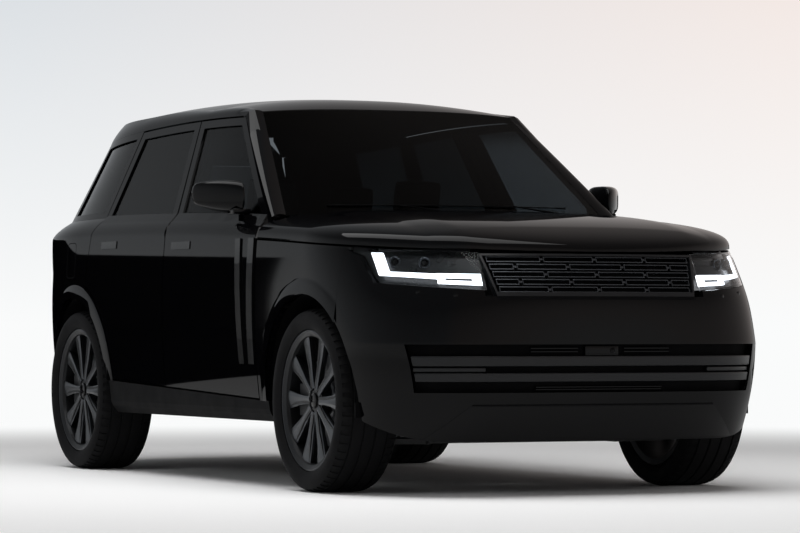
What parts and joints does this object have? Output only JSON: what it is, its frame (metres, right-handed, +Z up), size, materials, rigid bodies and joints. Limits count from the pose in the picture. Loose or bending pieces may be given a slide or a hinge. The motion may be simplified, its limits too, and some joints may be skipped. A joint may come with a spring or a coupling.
{
  "type": "sport utility vehicle",
  "caption": "Large gloss black sport utility vehicle with a clamshell bonnet, split tailgate, opening doors, steered front wheels and a hollow cabin with seats.",
  "frame": {"origin": "centre of the overall box, on the ground under the tyres", "axes": "+X towards the front bumper, +Y towards the car's left side, +Z up"},
  "size_m": [5.052, 2.209, 1.8519],
  "materials": {
    "paint": "gloss black clear-coated paint",
    "underbody": "matt black underseal",
    "trim": "grained black plastic",
    "gloss_trim": "gloss black plastic",
    "satin_trim": "satin dark grey plastic",
    "lamp": "clear lamp lens over a dark housing",
    "tail_lamp": "dark red lens",
    "glass": "tinted glass",
    "cabin": "soft-touch black",
    "leather": "dark perforated leather",
    "alloy": "cast",
    "chassis": "black cast",
    "steel": "stainless",
    "wheel": "satin dark grey cast alloy",
    "tyre": "rubber",
    "iron": "machined"
  },
  "bodies": {
    "body": {"floor_pan": "underbody", "rear_floor": "underbody", "rear_liners": "underbody", "pillars": "underbody", "sills": "trim", "side_rails": "paint", "quarter_panels": "paint", "roof_panel": "paint", "front_wings": "paint", "front_bumper": "paint", "intake_bars": "satin_trim", "grille": "satin_trim", "headlamps": "lamp", "tail_lamps": "tail_lamp", "rear_bumper": "paint", "cowl": "trim", "windscreen": "glass", "quarter_glass": "glass", "dashboard": "cabin", "seats": "leather", "engine_block": "alloy", "front_axle": "chassis", "rear_axle": "chassis", "exhaust": "steel"},
    "bonnet": {"bonnet": "paint"},
    "upper_tailgate": {"upper_tailgate": "paint", "rear_glass": "glass"},
    "lower_tailgate": {"lower_tailgate": "paint"},
    "knuckle_left": {"knuckle_left": "chassis"},
    "knuckle_right": {"knuckle_right": "chassis"},
    "steering_wheel": {"steering_wheel": "cabin"},
    "wheel_fl": {"wheel_fl": "wheel", "tyre_fl": "tyre", "disc_fl": "iron"},
    "wheel_fr": {"wheel_fr": "wheel", "tyre_fr": "tyre", "disc_fr": "iron"},
    "wheel_rl": {"wheel_rl": "wheel", "tyre_rl": "tyre", "disc_rl": "iron"},
    "wheel_rr": {"wheel_rr": "wheel", "tyre_rr": "tyre", "disc_rr": "iron"},
    "door_fl": {"door_fl": "paint", "glass_fl": "glass", "mirror_left": "gloss_trim", "trim_fl": "gloss_trim"},
    "door_fr": {"door_fr": "paint", "glass_fr": "glass", "mirror_right": "gloss_trim", "trim_fr": "gloss_trim"},
    "door_rl": {"door_rl": "paint", "glass_rl": "glass", "handle_rl": "gloss_trim"},
    "door_rr": {"door_rr": "paint", "glass_rr": "glass", "handle_rr": "gloss_trim"}
  },
  "joints": [
    {"name": "steer_left", "type": "hinge", "parent": "body", "child": "knuckle_left", "pos_m": [1.625, 0.791, 0.4], "axis": [0, 0, 1], "range_deg": [-33, 33]},
    {"name": "steer_right", "type": "hinge", "parent": "body", "child": "knuckle_right", "pos_m": [1.625, -0.791, 0.4], "axis": [0, 0, 1], "range_deg": [-33, 33]},
    {"name": "steering_wheel_turn", "type": "hinge", "parent": "body", "child": "steering_wheel", "pos_m": [0.56, 0.38, 1.01], "axis": [-0.9135, 0, 0.4067], "range_deg": [-429, 429]},
    {"name": "spin_fl", "type": "hinge", "parent": "knuckle_left", "child": "wheel_fl", "pos_m": [1.625, 0.851, 0.4], "axis": [0, 1, 0], "continuous": true},
    {"name": "spin_fr", "type": "hinge", "parent": "knuckle_right", "child": "wheel_fr", "pos_m": [1.625, -0.851, 0.4], "axis": [0, 1, 0], "continuous": true},
    {"name": "spin_rl", "type": "hinge", "parent": "body", "child": "wheel_rl", "pos_m": [-1.372, 0.851, 0.4], "axis": [0, 1, 0], "continuous": true},
    {"name": "spin_rr", "type": "hinge", "parent": "body", "child": "wheel_rr", "pos_m": [-1.372, -0.851, 0.4], "axis": [0, 1, 0], "continuous": true},
    {"name": "door_fl_hinge", "type": "hinge", "parent": "body", "child": "door_fl", "pos_m": [0.96, 0.97, 0.8], "axis": [0, 0, -1], "range_deg": [0, 68]},
    {"name": "door_fr_hinge", "type": "hinge", "parent": "body", "child": "door_fr", "pos_m": [0.96, -0.97, 0.8], "axis": [0, 0, 1], "range_deg": [0, 68]},
    {"name": "door_rl_hinge", "type": "hinge", "parent": "body", "child": "door_rl", "pos_m": [-0.2095, 0.97, 0.8], "axis": [0, 0, -1], "range_deg": [0, 70]},
    {"name": "door_rr_hinge", "type": "hinge", "parent": "body", "child": "door_rr", "pos_m": [-0.2095, -0.97, 0.8], "axis": [0, 0, 1], "range_deg": [0, 70]},
    {"name": "bonnet_hinge", "type": "hinge", "parent": "body", "child": "bonnet", "pos_m": [1.06, 0, 1.18], "axis": [0, -1, 0], "range_deg": [0, 50]},
    {"name": "upper_tailgate_hinge", "type": "hinge", "parent": "body", "child": "upper_tailgate", "pos_m": [-2.09, 0, 1.73097], "axis": [0, 1, 0], "range_deg": [0, 78]},
    {"name": "lower_tailgate_hinge", "type": "hinge", "parent": "body", "child": "lower_tailgate", "pos_m": [-2.508, 0, 0.832], "axis": [0, -1, 0], "range_deg": [0, 90]}
  ],
  "couplings": [
    {"joint": "steer_right", "follows": "steer_left", "ratio": 1},
    {"joint": "steering_wheel_turn", "follows": "steer_left", "ratio": 13}
  ]
}
